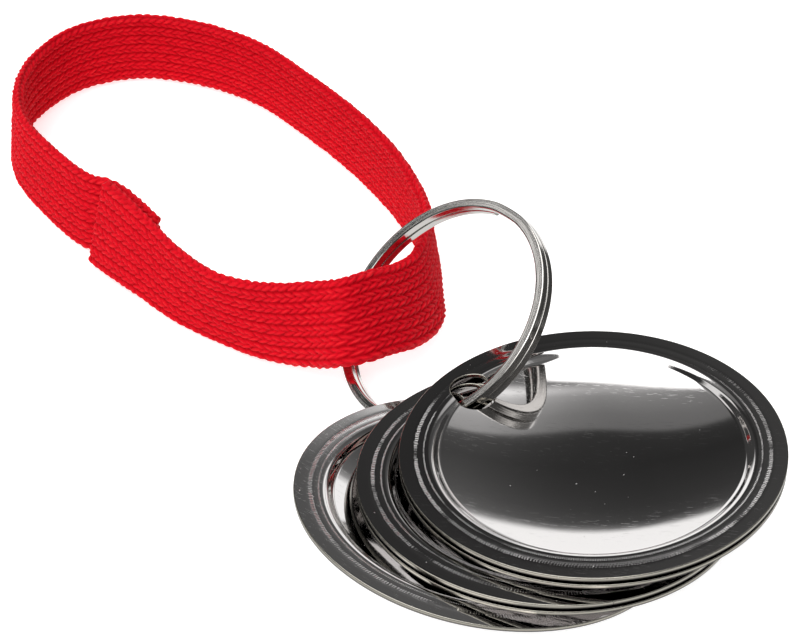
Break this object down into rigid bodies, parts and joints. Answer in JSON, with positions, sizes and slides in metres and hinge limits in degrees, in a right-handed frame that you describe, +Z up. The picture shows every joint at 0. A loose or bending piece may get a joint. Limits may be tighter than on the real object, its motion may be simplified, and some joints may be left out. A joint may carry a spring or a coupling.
{
  "type": "finger cymbals",
  "caption": "Dished steel discs with a flat rim, hung by a hole each on a split ring, with a flat braided wrist loop through the ring, lying fanned out.",
  "frame": {"origin": "middle of the bottom of the bounding box, on the surface the set lies on", "axes": "+Z up from the surface; +Y from the discs towards the far end of the wrist loop; +X to the right seen from the discs' side"},
  "size_m": [0.1164, 0.151, 0.0259],
  "materials": {
    "disc_steel": "polished",
    "ring_nickel": "polished",
    "braid": "woven",
    "thread": "twisted"
  },
  "bodies": {
    "split_ring": {"split_ring": "ring_nickel"},
    "disc_5": {"disc_5": "disc_steel"},
    "disc_4": {"disc_4": "disc_steel"},
    "disc_3": {"disc_3": "disc_steel"},
    "disc_2": {"disc_2": "disc_steel"},
    "disc_1": {"disc_1": "disc_steel"},
    "wrist_loop": {"wrist_loop": "braid", "splice_stitching": "thread"}
  },
  "joints": [
    {"name": "disc_5_slide_round", "type": "hinge", "parent": "split_ring", "child": "disc_5", "pos_m": [0.01451, -0.0191, 0.01341], "axis": [-0.5886, -0.3316, 0.7373], "range_deg": [0, 20]},
    {"name": "disc_4_slide_round", "type": "hinge", "parent": "disc_5", "child": "disc_4", "pos_m": [0.01451, -0.0191, 0.01341], "axis": [-0.5886, -0.3316, 0.7373], "range_deg": [0, 20]},
    {"name": "disc_3_slide_round", "type": "hinge", "parent": "disc_4", "child": "disc_3", "pos_m": [0.01451, -0.0191, 0.01341], "axis": [-0.5886, -0.3316, 0.7373], "range_deg": [0, 20]},
    {"name": "disc_2_slide_round", "type": "hinge", "parent": "disc_3", "child": "disc_2", "pos_m": [0.01451, -0.0191, 0.01341], "axis": [-0.5886, -0.3316, 0.7373], "range_deg": [0, 20]},
    {"name": "disc_1_slide_round", "type": "hinge", "parent": "disc_2", "child": "disc_1", "pos_m": [0.01451, -0.0191, 0.01341], "axis": [-0.5886, -0.3316, 0.7373], "range_deg": [0, 20]},
    {"name": "wrist_loop_swing", "type": "hinge", "parent": "split_ring", "child": "wrist_loop", "pos_m": [0.0017, -0.0107, 0.007], "axis": [0.2451, 0.7962, 0.5532], "range_deg": [0, 12]}
  ]
}
